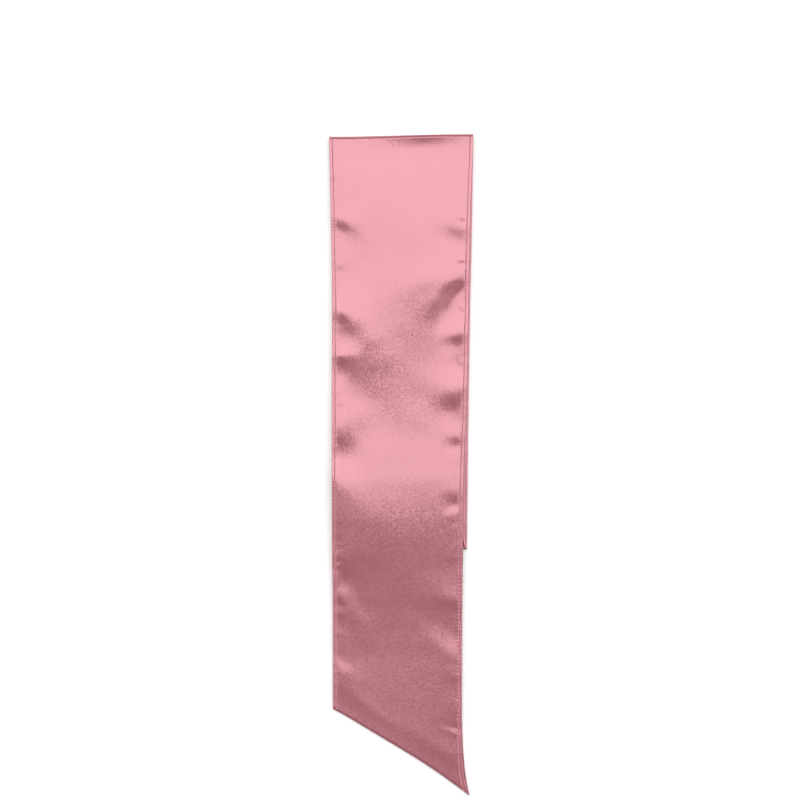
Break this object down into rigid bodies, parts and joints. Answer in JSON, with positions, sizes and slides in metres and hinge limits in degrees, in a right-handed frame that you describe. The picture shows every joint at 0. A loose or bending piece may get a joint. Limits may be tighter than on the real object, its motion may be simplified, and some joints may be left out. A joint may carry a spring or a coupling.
{
  "type": "satin sash",
  "caption": "Long satin sash with narrow stitched hems, closed into a loop by a slanted seam, pressed flat and folded once.",
  "frame": {"origin": "middle of the footprint, on the surface that the sash lies on", "axes": "+Y along the sash towards its top fold, +X to the right as seen from above with +Y up, +Z up from the surface"},
  "size_m": [0.1084, 0.4978, 0.0084],
  "materials": {
    "satin_pink": "pink satin with a strong sheen along its length",
    "satin_hem": "pink satin, turned under and stitched",
    "satin_inside": "pink satin, in shade between the outer plies"
  },
  "bodies": {
    "root": {"front_stretch": "satin_pink", "front_hem_left": "satin_hem", "front_hem_right": "satin_hem", "back_stretch": "satin_pink", "back_hem_left": "satin_hem", "back_hem_right": "satin_hem", "under_stretch": "satin_pink", "under_hem_left": "satin_hem", "under_hem_right": "satin_hem", "inner_layers": "satin_inside", "slanted_seam": "satin_hem"}
  },
  "joints": []
}
